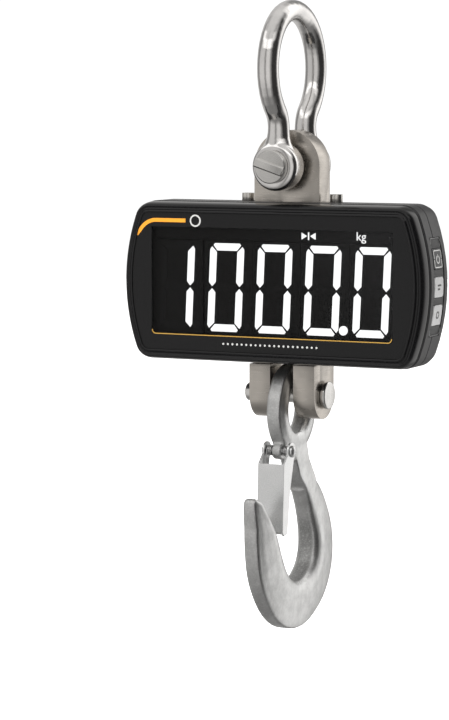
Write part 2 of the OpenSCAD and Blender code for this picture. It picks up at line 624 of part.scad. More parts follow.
shackle_bow();
shackle_pin();
load_cell();
strain_gauges();
gauge_covers();
cell_cable();
hook_pin();
pin_set_screw();
front_bezel();
front_housing();
rear_housing();
housing_gasket();
display_window();
display_mask();
digit_modules();
lit_segments();
unlit_segments();
legend_lights();
display_board();
display_cable();
ir_receiver();
main_board();
board_screws();
battery_pack();
battery_door();
battery_door_screws();
cover_screws();
mounting_brackets();
bracket_screws();
mounting_screws();
keypad_panel();
key_board();
tact_switches();
top_seal();
bottom_seal();
charge_socket();
rating_plate();
key_power();
key_hold();
key_zero();
hook();
latch_rivet();
latch();
latch_spring();
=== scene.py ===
import math

import bmesh
import bpy
from mathutils import Matrix, Vector


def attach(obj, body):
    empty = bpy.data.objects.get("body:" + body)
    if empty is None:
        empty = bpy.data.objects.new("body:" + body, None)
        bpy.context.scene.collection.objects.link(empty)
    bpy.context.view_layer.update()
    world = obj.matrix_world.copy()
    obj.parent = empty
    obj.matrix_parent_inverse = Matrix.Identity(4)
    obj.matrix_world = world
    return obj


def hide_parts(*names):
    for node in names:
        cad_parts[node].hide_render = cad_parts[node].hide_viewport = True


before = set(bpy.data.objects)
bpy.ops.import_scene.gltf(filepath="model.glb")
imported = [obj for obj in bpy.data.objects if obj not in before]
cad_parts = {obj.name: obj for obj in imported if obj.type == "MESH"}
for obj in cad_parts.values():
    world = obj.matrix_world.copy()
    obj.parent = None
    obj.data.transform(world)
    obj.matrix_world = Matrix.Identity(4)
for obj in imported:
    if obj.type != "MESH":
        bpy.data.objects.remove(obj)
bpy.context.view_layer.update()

# ---------------------------------------------------------------------------------------------
# Camera: a long lens, a little to the right of the display and just above its level.
CAMERA_AIM = Vector((-0.0591, 0.0, -0.2685))
CAMERA_TURN, CAMERA_RISE = math.radians(26.0), math.radians(5.6)
CAMERA_REACH = 2.248
CAMERA_LENS = 140.5

lens = bpy.data.cameras.new("studio_camera")
lens.lens = CAMERA_LENS
camera = bpy.data.objects.new("studio_camera", lens)
bpy.context.scene.collection.objects.link(camera)
towards_camera = Vector((
    math.sin(CAMERA_TURN) * math.cos(CAMERA_RISE),
    -math.cos(CAMERA_TURN) * math.cos(CAMERA_RISE),
    math.sin(CAMERA_RISE)))
camera.location = CAMERA_AIM + CAMERA_REACH * towards_camera
camera.rotation_euler = towards_camera.to_track_quat("Z", "Y").to_euler()
bpy.context.scene.camera = camera

# ---------------------------------------------------------------------------------------------
# Studio: a pale round floor inside a white dome, soft boxes above, and round it walls of light
# and dark panels with a ribbon of light high up, which metal and gloss plastic mirror.
FLOOR_Z = -0.68
DOME_R = 7.0


class Value:
    """One output in a node tree. Arithmetic on it adds Math nodes to that tree."""

    def __init__(self, nodes, socket):
        self.nodes, self.socket = nodes, socket

    def calc(self, operation, *values):
        return self.nodes.add("ShaderNodeMath", {"operation": operation}, dict(enumerate(values)))

    def __add__(self, other):
        return self.calc("ADD", self, other)

    def __sub__(self, other):
        return self.calc("SUBTRACT", self, other)

    def __rsub__(self, other):
        return self.calc("SUBTRACT", other, self)

    def __mul__(self, other):
        return self.calc("MULTIPLY", self, other)

    def __truediv__(self, other):
        return self.calc("DIVIDE", self, other)

    def __pow__(self, other):
        return self.calc("POWER", self, other)

    __radd__ = __add__
    __rmul__ = __mul__

    def size(self):
        return self.calc("ABSOLUTE", self)

    def rise(self, low, high):
        """0 below low, 1 above high, and a smooth step between them."""
        return self.nodes.add("ShaderNodeMapRange", {"interpolation_type": "SMOOTHSTEP"},
                              {"Value": self, "From Min": low, "From Max": high})

    def fall(self, low, high):
        return 1 - self.rise(low, high)


class Nodes:
    """The node tree of a material or of the world, with its last shader."""

    def __init__(self, owner, shader):
        owner.use_nodes = True
        self.owner, self.tree = owner, owner.node_tree
        self.shader = self.tree.nodes[shader]

    def put(self, socket, value):
        if isinstance(value, Value):
            self.tree.links.new(value.socket, socket)
        elif socket.type == "RGBA":
            socket.default_value = (*value[:3], 1.0)
        else:
            socket.default_value = value

    def add(self, kind, settings=None, inputs=None, output=0):
        node = self.tree.nodes.new(kind)
        for name, value in (settings or {}).items():
            setattr(node, name, value)
        for name, value in (inputs or {}).items():
            self.put(node.inputs[name], value)
        return Value(self, node.outputs[output])

    def feed(self, **sockets):
        """Sets or links the shader's sockets, named with _ for a space."""
        for name, value in sockets.items():
            self.put(self.shader.inputs[name.replace("_", " ")], value)
        return self

    def mix(self, factor, first, second):
        return self.add("ShaderNodeMix", {"data_type": "RGBA"}, {0: factor, 6: first, 7: second}, 2)

    def place(self, centre=(0, 0, 0), size=(1, 1, 1), turn=(0, 0, 0)):
        """Object coordinates, centred and turned on a piece, with a pattern stretched by size."""
        at = self.add("ShaderNodeTexCoord", output="Object")
        return self.add("ShaderNodeMapping", {"vector_type": "TEXTURE"},
                        {"Vector": at, "Location": centre, "Scale": size, "Rotation": turn})

    def parts(self, vector):
        split = self.add("ShaderNodeSeparateXYZ", None, {0: vector})
        return [Value(self, split.socket.node.outputs[axis]) for axis in "XYZ"]

    def noise(self, at, scale, detail=3.0, roughness=0.55):
        return self.add("ShaderNodeTexNoise", None,
                        {"Vector": at, "Scale": scale, "Detail": detail, "Roughness": roughness})

    def emboss(self, height, depth, strength=1.0):
        """Bump from a height between 0 and 1, which stands depth metres high."""
        return self.feed(Normal=self.add(
            "ShaderNodeBump", None, {"Strength": strength, "Distance": depth, "Height": height}))


def finish(name, **sockets):
    return Nodes(bpy.data.materials.new(name), "Principled BSDF").feed(**sockets)


def stage_piece(name, mesh_maker, look, **rays):
    shape = bmesh.new()
    mesh_maker(shape)
    mesh = bpy.data.meshes.new(name)
    shape.to_mesh(mesh)
    shape.free()
    mesh.materials.append(look.owner)
    mesh.shade_smooth()
    item = bpy.data.objects.new(name, mesh)
    bpy.context.scene.collection.objects.link(item)
    for ray, seen in rays.items():
        setattr(item, "visible_" + ray, seen)
    return item


pale_floor = finish("pale_floor", Roughness=0.9, Emission_Color=(1, 1, 1), Emission_Strength=0.8)
pale_floor.feed(Base_Color=pale_floor.mix(pale_floor.noise(pale_floor.place(), 2.0), (0.9, 0.9, 0.9),
                                          (0.93, 0.93, 0.93)))
stage_piece("floor", lambda bm: (
    bmesh.ops.create_circle(bm, cap_ends=True, segments=96, radius=DOME_R),
    bmesh.ops.translate(bm, verts=bm.verts, vec=(0, 0, FLOOR_Z))), pale_floor, glossy=False)
white_dome = finish("white_dome", Base_Color=(0, 0, 0), Roughness=1.0, Emission_Color=(1, 1, 1),
                    Emission_Strength=1.05)
stage_piece("dome", lambda bm: bmesh.ops.create_icosphere(bm, subdivisions=4, radius=DOME_R),
            white_dome, diffuse=False, glossy=False, shadow=False, transmission=False)


def soft_box(name, turn, rise, away, width, height, power):
    """A square lamp of so many watts that metal doesn't mirror, turned and raised by degrees."""
    light = bpy.data.lights.new(name, "AREA")
    light.shape, light.size, light.size_y, light.energy = "RECTANGLE", width, height, power
    item = bpy.data.objects.new(name, light)
    bpy.context.scene.collection.objects.link(item)
    out = Matrix.Rotation(math.radians(turn), 3, "Z") @ Vector(
        (0, -math.cos(math.radians(rise)), math.sin(math.radians(rise))))
    item.location = CAMERA_AIM + away * out
    item.rotation_euler = out.to_track_quat("Z", "Y").to_euler()
    item.visible_glossy = False


soft_box("key_box", -48, 36, 2.2, 1.3, 1.3, 24)
soft_box("top_box", 20, 82, 1.8, 1.6, 0.5, 8)
soft_box("back_box", 190, 38, 2.3, 1.5, 1.3, 20)

sky = bpy.data.worlds.new("studio_air")
bpy.context.scene.world = sky
air = Nodes(sky, "Background")
to_x, to_y, up = air.parts(air.add("ShaderNodeTexCoord", output="Generated"))
turn = to_x.calc("ARCTAN2", to_x, to_y * -1) * (180 / math.pi)


def panel(start, end, soft=9):
    """1 between two turns in degrees, counted from the display's side towards the keys' side."""
    return turn.rise(start - soft, start + soft) * turn.fall(end - soft, end + soft)


front_panels = 0.4 * panel(-76, -16, 8) + 0.45 * panel(2, 44, 8)
dark_panel = 0.26 * panel(60, 122, 8)
back_panels = (0.8 + 0.5 * up.rise(-0.3, 0.5)) * panel(136, 166) + 0.35 * panel(-160, -112)
walls = 0.3 + front_panels - dark_panel + back_panels
ribbon_light = up.rise(0.46, 0.58) * up.fall(0.66, 0.78) * to_y.fall(-0.4, 0.3)
level = walls + (0.8 - walls) * up.rise(0.6, 0.95) + (0.25 - walls) * up.fall(-0.9, -0.4) + ribbon_light
air.feed(Color=(1.0, 0.985, 0.97), Strength=level)
bpy.context.scene.view_settings.view_transform = "Standard"

# ---------------------------------------------------------------------------------------------
# Bow shackle: a drop-forged steel bar, bent, flared into two ears, ground and mirror polished.
MM = 0.001
PIN_Z = -112.5
# A shoulder's rows between bar and ear: height above the pin, half widths in X and Y, place in Y.
SHOULDER = [(10.6, 15.8, 9.3, 27), (14.5, 13.0, 9.3, 26.8), (18, 10.8, 9.2, 26.3), (22, 9.3, 8.9, 25.6),
            (26, 8.7, 8.6, 25.1), (31, 8.45, 8.45, 25)]
BOW_VOXEL = 0.8 * MM
SMOOTHING_ROUNDS = 8
MERGE = 0.02 * MM


def cad_copy(node, flat=0.4):
    """A CAD node's triangles, merged to closed faces. Faces that turn less than flat become one."""
    bm = bmesh.new()
    bm.from_mesh(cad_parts[node].data)
    bmesh.ops.remove_doubles(bm, verts=bm.verts, dist=MERGE)
    bmesh.ops.dissolve_limit(bm, angle_limit=math.radians(flat), verts=bm.verts, edges=bm.edges)
    return bm


def stand(name, bm, body, look, sharp=32.0, node=None):
    """Makes a mesh a piece on its body, smooth where its faces turn less than sharp."""
    mesh = bpy.data.meshes.new(name)
    bm.to_mesh(mesh)
    bm.free()
    mesh.materials.append(look.owner)
    mesh.shade_smooth()
    mesh.set_sharp_from_angle(angle=math.radians(sharp))
    item = bpy.data.objects.new(name, mesh)
    bpy.context.scene.collection.objects.link(item)
    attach(item, body)
    if node:
        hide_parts(node)
    return item


def shrink_wrap_forging(bm, voxel):
    """Fuses a mesh's overlapping bodies into one skin and rounds its inner and outer corners."""
    mesh = bpy.data.meshes.new("forging")
    bm.to_mesh(mesh)
    bm.free()
    item = bpy.data.objects.new("forging", mesh)
    bpy.context.scene.collection.objects.link(item)
    fuse = item.modifiers.new("fuse", "REMESH")
    fuse.mode, fuse.voxel_size = "VOXEL", voxel
    ease = item.modifiers.new("ease", "SMOOTH")
    ease.factor, ease.iterations = 0.5, SMOOTHING_ROUNDS
    skin = bmesh.new()
    skin.from_object(item, bpy.context.evaluated_depsgraph_get())
    bpy.data.objects.remove(item)
    bpy.data.meshes.remove(mesh)
    return skin


def ring_rows(bm, rows, segments=40):
    """A closed tube through flat ellipses, given as (z, half x, half y, y)."""
    loops = []
    for z, half_x, half_y, y in rows:
        verts = bmesh.ops.create_circle(bm, segments=segments, radius=1)["verts"]
        bmesh.ops.scale(bm, verts=verts, vec=(half_x * MM, half_y * MM, 1))
        bmesh.ops.translate(bm, verts=verts, vec=(0, y * MM, z * MM))
        ring = set(verts)
        loops.append([e for e in bm.edges if ring.issuperset(e.verts)])
    for lower, upper in zip(loops, loops[1:]):
        bmesh.ops.bridge_loops(bm, edges=lower + upper)
    bmesh.ops.holes_fill(bm, edges=loops[0] + loops[-1])


bow = cad_copy("shackle_bow")
for side in (1, -1):
    shoulder = bmesh.new()
    ring_rows(shoulder, [(PIN_Z + z, x, y, place) for z, x, y, place in SHOULDER])
    bmesh.ops.scale(shoulder, verts=shoulder.verts, vec=(1, side, 1))
    bmesh.ops.recalc_face_normals(shoulder, faces=shoulder.faces)
    flare = bpy.data.meshes.new("shoulder")
    shoulder.to_mesh(flare)
    shoulder.free()
    bow.from_mesh(flare)
    bpy.data.meshes.remove(flare)
bow = shrink_wrap_forging(bow, BOW_VOXEL)


def polish(name, colour, shade, gloss, dull, grain, depth, stretch=(1, 1, 1), wave=0.0):
    """Bare or plated metal: two tones in soft clouds, roughness from the same grain as the bump."""
    look = finish(name, Metallic=1.0)
    at = look.place(size=stretch)
    fine = look.noise(at, grain, 4.0, 0.65)
    cloud = look.noise(look.place(), 38.0, 2.0)
    look.feed(Base_Color=look.mix(cloud.rise(0.3, 0.7), shade, colour),
              Roughness=gloss + (dull - gloss) * fine.rise(0.3, 0.75) * (0.6 + 0.4 * cloud))
    look.emboss(fine + cloud * wave, depth)
    return look


mirror_steel = polish("mirror_steel", (0.8, 0.785, 0.77), (0.66, 0.65, 0.64), 0.12, 0.24, 420.0, 0.00003,
                      wave=1.2)
stand("shackle_bow_forging", bow, "shackle", mirror_steel, 60, "shackle_bow")

# ---------------------------------------------------------------------------------------------
# Shackle pin: turned from stainless bar. Its round head carries a raised bar to screw it in by.


def ease_edges(bm, width, segments=2, turn=30.0):
    edges = [e for e in bm.edges if e.is_manifold and e.calc_face_angle(0.0) > math.radians(turn)]
    bmesh.ops.bevel(bm, geom=edges, offset=width * MM, offset_type="OFFSET", affect="EDGES",
                    segments=segments, profile=0.5, material=-1, clamp_overlap=True)
    return bm


def turned(name, colour, centre, axis_turn, gloss=0.2, dull=0.36):
    """Lathe-turned metal: fine rings about the axis of the piece."""
    look = finish(name, Metallic=1.0)
    at = look.parts(look.place(centre, turn=axis_turn))
    radius = (at[0] ** 2 + at[2] ** 2) ** 0.5
    rings = look.noise(look.add("ShaderNodeCombineXYZ", None, {0: radius * 2600.0, 1: at[1] * 30.0}), 1.0,
                       2.0)
    cloud = look.noise(look.place(), 120.0)
    look.feed(Base_Color=look.mix(cloud, [0.82 * c for c in colour], colour),
              Roughness=gloss + (dull - gloss) * rings)
    look.emboss(rings + 0.5 * cloud, 0.00004)
    return look


turned_steel = turned("turned_steel", (0.66, 0.65, 0.63), (0, 0, PIN_Z * MM), (0, 0, 0))
stand("shackle_pin_turned", ease_edges(cad_copy("shackle_pin"), 0.45, 3), "shackle", turned_steel,
      node="shackle_pin")

# ---------------------------------------------------------------------------------------------
# Load cell: milled from alloy steel plate, satin nickel plated, with a rounded lug on top and a
# fork below. Foil gauges and their covers sit in its two pockets, out of sight in the housing.
nickel = polish("satin_nickel", (0.6, 0.56, 0.51), (0.5, 0.47, 0.43), 0.26, 0.42, 700.0, 0.00002,
                (12, 12, 1))
stand("load_cell_milled", ease_edges(cad_copy("load_cell"), 0.7, 3), "scale", nickel,
      node="load_cell")


def dress(look, *nodes):
    """Gives CAD nodes a finish."""
    for node in nodes:
        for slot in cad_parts[node].material_slots:
            slot.material = look.owner


gauge_foil = polish("gauge_foil", (0.85, 0.6, 0.28), (0.7, 0.42, 0.15), 0.3, 0.5, 900.0, 0.00002)
bright_screws = polish("bright_screws", (0.72, 0.7, 0.66), (0.6, 0.58, 0.55), 0.2, 0.38, 700.0, 0.00003)
dress(gauge_foil, "strain_gauges")
dress(bright_screws, "gauge_covers", "board_screws", "bracket_screws", "mounting_brackets")


def moulded(name, colour, shade, gloss, dull, grain, depth, **sockets):
    """Plastic or rubber: a faint two-tone cloud and a fine grain."""
    look = finish(name, **sockets)
    fine = look.noise(look.place(), grain, 2.0, 0.6)
    cloud = look.noise(look.place(), 30.0, 3.0)
    look.feed(Base_Color=look.mix(cloud, shade, colour), Roughness=gloss + (dull - gloss) * fine)
    return look.emboss(fine, depth)


rubber = moulded("black_rubber", (0.03, 0.03, 0.03), (0.018, 0.018, 0.018), 0.6, 0.8, 1500.0, 0.00008)
dress(rubber, "cell_cable", "housing_gasket", "top_seal", "bottom_seal")

# ---------------------------------------------------------------------------------------------
# Hook pin: a turned bolt through the fork, kept by a blackened grub screw in the left lug.
HOOK_PIN_Z = -292.5
pin_steel = turned("pin_steel", (0.76, 0.75, 0.73), (0, 0, HOOK_PIN_Z * MM), (0, 0, math.radians(90)), 0.16,
                   0.3)
stand("hook_pin_turned", ease_edges(cad_copy("hook_pin"), 0.3), "scale", pin_steel,
      node="hook_pin")
black_oxide = polish("black_oxide", (0.05, 0.05, 0.05), (0.03, 0.03, 0.03), 0.3, 0.5, 900.0, 0.00003)
dress(black_oxide, "pin_set_screw")

# ---------------------------------------------------------------------------------------------
# Front bezel: injection moulded in gloss black, with soft ridges that run round the window.
CASE_Z = -203.5
CASE_HALF = 63.0
SIDE_R, SIDE_X = 156.0, -27.0
CORNER_R, CORNER_LEAST = 15.0, 3.0
WINDOW_Y = -41.5
# The bezel's section: depth behind the window's plane and inset from the housing's outline.
BEZEL_SECTION = [
    (0.0, 8.8), (-0.7, 8.75), (-0.9, 8.2), (-0.9, 7.5), (-0.2, 6.9), (0.7, 6.3), (1.0, 5.6), (0.95, 4.9),
    (0.35, 4.35), (0.15, 3.85), (0.5, 3.1), (1.5, 2.3), (3.0, 1.6), (5.0, 1.1), (7.5, 0.75), (10.0, 0.5),
    (11.4, 0.42), (11.9, 0.6), (12.6, 1.5), (14.4, 1.5), (14.4, 4.5), (6.0, 5.5), (3.6, 10.8), (2.2, 10.8),
    (2.2, 8.8)]


def arc(middle_x, middle_z, radius, start, end, steps):
    angles = [start + (end - start) * i / steps for i in range(steps + 1)]
    return [(middle_x + radius * math.cos(a), middle_z + radius * math.sin(a)) for a in angles]


def housing_rim(inset, steps=10):
    """The housing's outline moved inwards, from the middle of its right side round to the left."""
    fillet = max(CORNER_R - inset, CORNER_LEAST)
    big = SIDE_R - inset
    height = CASE_HALF - inset - fillet
    turn = math.asin(height / (big - fillet))
    corner_x = SIDE_X + (big - fillet) * math.cos(turn)
    side = arc(SIDE_X, 0, big, 0, turn, steps)
    half = side[:-1] + arc(corner_x, height, fillet, turn, math.pi / 2, steps)
    flat = [(corner_x * (1 - i / steps), CASE_HALF - inset) for i in range(1, steps + 1)]
    quarter = half + flat
    top = quarter + [(-x, z) for x, z in reversed(quarter[:-1])]
    return top + [(x, -z) for x, z in reversed(top[1:-1])]


def loft_rim(levels):
    """Draws the outline through (y, inset) levels, from one closed loop of vertices."""
    bm = bmesh.new()
    y, inset = levels[0]
    loop = [bm.verts.new((x * MM, y * MM, (z + CASE_Z) * MM)) for x, z in housing_rim(inset)]
    edges = [bm.edges.new((a, b)) for a, b in zip(loop, loop[1:] + loop[:1])]
    for y, inset in levels[1:]:
        grown = bmesh.ops.extrude_edge_only(bm, edges=edges)["geom"]
        edges = [g for g in grown if isinstance(g, bmesh.types.BMEdge)]
        fresh = {g for g in grown if isinstance(g, bmesh.types.BMVert)}
        edges = [e for e in edges if e.verts[0] in fresh and e.verts[1] in fresh]
        ahead = {v: next(old for e in v.link_edges for old in e.verts if old not in fresh) for v in fresh}
        order = {old: place for place, old in enumerate(loop)}
        loop = sorted(fresh, key=lambda v: order[ahead[v]])
        for v, (x, z) in zip(loop, housing_rim(inset)):
            v.co = Vector((x, y, z + CASE_Z)) * MM
    return bm, edges


bezel, _ = loft_rim([(WINDOW_Y + depth, inset) for depth, inset in BEZEL_SECTION + BEZEL_SECTION[:1]])
bmesh.ops.remove_doubles(bezel, verts=bezel.verts, dist=MERGE)
bmesh.ops.recalc_face_normals(bezel, faces=bezel.faces)
gloss_black = moulded("gloss_black", (0.006, 0.006, 0.0063), (0.004, 0.004, 0.0045), 0.05, 0.1, 900.0,
                      0.000006, Specular_IOR_Level=0.34)
bezel = stand("bezel_moulding", bezel, "scale", gloss_black, 60, "front_bezel")
round_off = bezel.modifiers.new("soft_ridges", "SUBSURF")
round_off.levels = round_off.render_levels = 1

# ---------------------------------------------------------------------------------------------
# Front and rear shells: moulded in satin black with a fine spark-eroded grain, screwed together
# from behind. The battery door closes the rear one.
satin_black = moulded("satin_black", (0.02, 0.02, 0.021), (0.013, 0.013, 0.014), 0.28, 0.42, 2200.0,
                      0.00005, Specular_IOR_Level=0.4)
for name, node in (("front_shell", "front_housing"), ("rear_shell", "rear_housing")):
    shell = stand(name, ease_edges(cad_copy(node), 0.3), "scale", satin_black, node=node)
    shell.modifiers.new("flat_faces", "WEIGHTED_NORMAL").keep_sharp = True
stand("battery_lid", ease_edges(cad_copy("battery_door"), 0.5), "scale", satin_black,
      node="battery_door")
dress(bright_screws, "cover_screws", "battery_door_screws")

# ---------------------------------------------------------------------------------------------
# Window: clear hard-coated sheet, smoked over the digits and printed black from behind elsewhere.
# The accent lines, the ring and the row of dots are thin films of ink on it.
SCREEN_HALF_X, SCREEN_TOP, SCREEN_FOOT = 103.0, -160.5, -245.0
SCREEN_EDGE = 0.3
SMOKE = 0.6
INK_Y = -41.43
INK_T = 0.06
STRIPE_X, STRIPE_Z, STRIPE_R = -99.0, -155.4, 16.0
RING_X = -64.4
FOOT_X, FOOT_Z, FOOT_R = 99.3, -242.0, 3.2
DOTS, DOTS_X, DOTS_Z, DOT_PITCH = 21, -40, -251.3, 4

smoked = finish("smoked_window", Specular_IOR_Level=0.24)
at_x, _, at_z = smoked.parts(smoked.place(size=(MM, MM, MM)))
across = at_x.size().fall(SCREEN_HALF_X - SCREEN_EDGE, SCREEN_HALF_X + SCREEN_EDGE)
screen = across * at_z.rise(SCREEN_FOOT - SCREEN_EDGE, SCREEN_FOOT + SCREEN_EDGE) * \
    at_z.fall(SCREEN_TOP - SCREEN_EDGE, SCREEN_TOP + SCREEN_EDGE)
haze = smoked.noise(smoked.place(), 9.0, 2.0)
# Painted reflection: inside the screen the colour runs from black at the lower left to dark grey at the
# upper right.
painted_reflection_sweep = ((at_x + at_z * 0.9) / 260.0 + 0.75).rise(0.0, 1.0)
smoked.feed(Base_Color=smoked.mix(screen, (0.006, 0.006, 0.0063),
                                  smoked.mix(painted_reflection_sweep, (0.0005, 0.0005, 0.0005), (0.02, 0.02, 0.021))),
            Alpha=1 - SMOKE * screen, Roughness=0.08 + 0.05 * haze)
dress(smoked, "display_window")


def ink_line(points, width, closed=False):
    """A flat strip of even width along points in a plane, as two columns in X and Z."""
    bm = bmesh.new()
    path = [Vector(p) for p in points]
    count = len(path)

    def side(i):
        before = path[i - 1] if closed or i else path[0]
        after = path[(i + 1) % count] if closed or i < count - 1 else path[-1]
        along = (after - before).normalized()
        return Vector((-along.y, along.x)) * width / 2

    edge = [bm.verts.new((*(p - side(i)), 0)) for i, p in enumerate(path)]
    pairs = zip(edge, edge[1:] + edge[:1] if closed else edge[1:])
    edges = [bm.edges.new(pair) for pair in pairs]
    start = {tuple(v.co): i for i, v in enumerate(edge)}
    for v in [g for g in bmesh.ops.extrude_edge_only(bm, edges=edges)["geom"]
              if isinstance(g, bmesh.types.BMVert)]:
        i = start[tuple(v.co)]
        v.co = Vector((*(path[i] + side(i)), 0))
    return bm


def ink_disc(middle, radius, segments=20):
    bm = bmesh.new()
    bmesh.ops.create_circle(bm, cap_ends=True, segments=segments, radius=radius)
    bmesh.ops.translate(bm, verts=bm.verts, vec=(*middle, 0))
    return bm


def circle_points(middle, radius, start=0.0, end=360.0, steps=48):
    full = [(middle[0] + radius * math.cos(math.radians(start + (end - start) * i / steps)),
             middle[1] + radius * math.sin(math.radians(start + (end - start) * i / steps)))
            for i in range(steps + 1)]
    return full[:-1] if abs(end - start) == 360.0 else full


def ink(name, shapes, place, look, body="scale"):
    """Joins flat shapes, lays them on a surface by place(u, v, t), and gives them a thickness."""
    whole = bmesh.new()
    for shape in shapes:
        mesh = bpy.data.meshes.new("ink")
        shape.to_mesh(mesh)
        shape.free()
        whole.from_mesh(mesh)
        bpy.data.meshes.remove(mesh)
    film = bmesh.ops.extrude_face_region(whole, geom=whole.faces)["geom"]
    for v in [g for g in film if isinstance(g, bmesh.types.BMVert)]:
        v.co.z = INK_T
    for v in whole.verts:
        v.co = Vector(place(*v.co)) * MM
    bmesh.ops.recalc_face_normals(whole, faces=whole.faces)
    return stand(name, whole, body, look)


def on_window(u, v, t):
    return u, INK_Y - t, v


def printed(name, colour, shade):
    look = finish(name, Roughness=0.35)
    return look.feed(Base_Color=look.mix(look.noise(look.place(), 300.0), shade, colour))


amber_ink = printed("amber_ink", (0.86, 0.36, 0.02), (0.8, 0.31, 0.015))
pale_ink = printed("pale_ink", (0.62, 0.62, 0.6), (0.5, 0.5, 0.49))
stripe_line = [(-73.0, STRIPE_Z), (-86, STRIPE_Z)] + \
    circle_points((STRIPE_X, STRIPE_Z - STRIPE_R), STRIPE_R, 90, 138, 10) + [(-116.2, -167.0)]
foot_line = circle_points((-FOOT_X, FOOT_Z), FOOT_R, 180, 270, 8) + [(0, FOOT_Z - FOOT_R)] + \
    circle_points((FOOT_X, FOOT_Z), FOOT_R, -90, 0, 8)
gold_ink = printed("gold_ink", (0.52, 0.3, 0.05), (0.44, 0.25, 0.04))
ink("window_stripe", [ink_line(stripe_line, 3.0)], on_window, amber_ink)
ink("window_foot_line", [ink_line(foot_line, 0.7)], on_window, gold_ink)
ink("window_marks", [ink_line(circle_points((RING_X, STRIPE_Z), 4.2), 1.2, True)] +
    [ink_disc((DOTS_X + DOT_PITCH * i, DOTS_Z), 0.85) for i in range(DOTS)], on_window, pale_ink)

# ---------------------------------------------------------------------------------------------
# Display: black digit modules on a dark board behind a mask, their lit strokes white. The unit
# and a plain steady mark glow on a black strip above the digits.
LIT_POWER = 2.8
MODULE_FRONT = -36.9
LEGEND_Z = -165.5
STEADY_X, UNIT_X = 31, 75
TRIANGLE_R, TRIANGLE_OUT = 3.1, 4.4
STRIP_LENGTH, STRIP_DEPTH, STRIP_HEIGHT = 202, 6, 9

lit_white = finish("lit_white", Base_Color=(0.9, 0.9, 0.9), Roughness=0.5, Emission_Strength=LIT_POWER)
lit_white.feed(Emission_Color=lit_white.mix(lit_white.noise(lit_white.place(), 60.0), (0.96, 0.98, 1.0),
                                            (1.0, 1.0, 1.0)))
dress(lit_white, "lit_segments")
mask_black = moulded("mask_black", (0.012, 0.012, 0.012), (0.008, 0.008, 0.008), 0.5, 0.7, 1800.0, 0.00003)
unlit = moulded("unlit_strokes", (0.016, 0.016, 0.017), (0.012, 0.012, 0.012), 0.4, 0.6, 1800.0, 0.00003)
dress(mask_black, "display_mask", "display_board", "digit_modules", "ir_receiver", "tact_switches",
      "charge_socket")
dress(unlit, "unlit_segments")


def steady_mark():
    """Two small triangles with their points at a bar: the load is at rest."""
    shapes = []
    for sign in (-1, 1):
        shape = ink_disc((0, 0), TRIANGLE_R, 3)
        bmesh.ops.rotate(shape, verts=shape.verts, matrix=Matrix.Rotation(math.pi / 2 * sign, 3, "Z"))
        bmesh.ops.translate(shape, verts=shape.verts, vec=(STEADY_X + TRIANGLE_OUT * sign, LEGEND_Z, 0))
        shapes.append(shape)
    return shapes + [ink_line([(STEADY_X, LEGEND_Z - 3), (STEADY_X, LEGEND_Z + 3)], 1.1)]


def unit_text():
    text = bpy.data.curves.new("unit_text", "FONT")
    text.body, text.size, text.align_x = "kg", 9.4, "CENTER"
    item = bpy.data.objects.new("unit_text", text)
    bpy.context.scene.collection.objects.link(item)
    mesh = bpy.data.meshes.new_from_object(item.evaluated_get(bpy.context.evaluated_depsgraph_get()))
    bm = bmesh.new()
    bm.from_mesh(mesh)
    bpy.data.objects.remove(item)
    bpy.data.meshes.remove(mesh)
    bmesh.ops.remove_doubles(bm, verts=bm.verts, dist=0.001)
    bmesh.ops.translate(bm, verts=bm.verts, vec=(UNIT_X, LEGEND_Z - 2.4, 0))
    return bm


legends = ink("legend_glow", steady_mark() + [unit_text()], lambda u, v, t: (u, MODULE_FRONT - t, v),
              lit_white)
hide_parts("legend_lights")
strip = bmesh.new()
bmesh.ops.create_cube(strip, size=1.0, matrix=Matrix.LocRotScale(
    Vector((0, MODULE_FRONT + 0.1 + STRIP_DEPTH / 2, LEGEND_Z)) * MM, None,
    Vector((STRIP_LENGTH, STRIP_DEPTH, STRIP_HEIGHT)) * MM))
stand("legend_cover", ease_edges(strip, 0.4), "scale", mask_black)

# ---------------------------------------------------------------------------------------------
# Electronics and battery: boards with a dark solder mask, a grey ribbon, two sleeved cells.
solder_mask = moulded("solder_mask", (0.012, 0.07, 0.03), (0.008, 0.05, 0.02), 0.25, 0.4, 700.0, 0.00002)
dress(solder_mask, "main_board", "key_board")
ribbon = moulded("grey_ribbon", (0.45, 0.45, 0.43), (0.36, 0.36, 0.35), 0.45, 0.6, 500.0, 0.00004)
dress(ribbon, "display_cable")
blue_sleeve = moulded("blue_sleeve", (0.04, 0.12, 0.36), (0.03, 0.1, 0.3), 0.2, 0.35, 300.0, 0.00005)
dress(blue_sleeve, "battery_pack")
anodised = polish("anodised_plate", (0.7, 0.7, 0.72), (0.62, 0.62, 0.64), 0.3, 0.42, 500.0, 0.00002,
                  (12, 1, 1))
stand("blank_plate", ease_edges(cad_copy("rating_plate"), 0.1, 1), "scale", anodised,
      node="rating_plate")

# ---------------------------------------------------------------------------------------------
# Cylinder-head screws on top of the housing, into the brackets on the load cell.
stand("mounting_screw_heads", ease_edges(cad_copy("mounting_screws"), 0.35), "scale", bright_screws,
      node="mounting_screws")

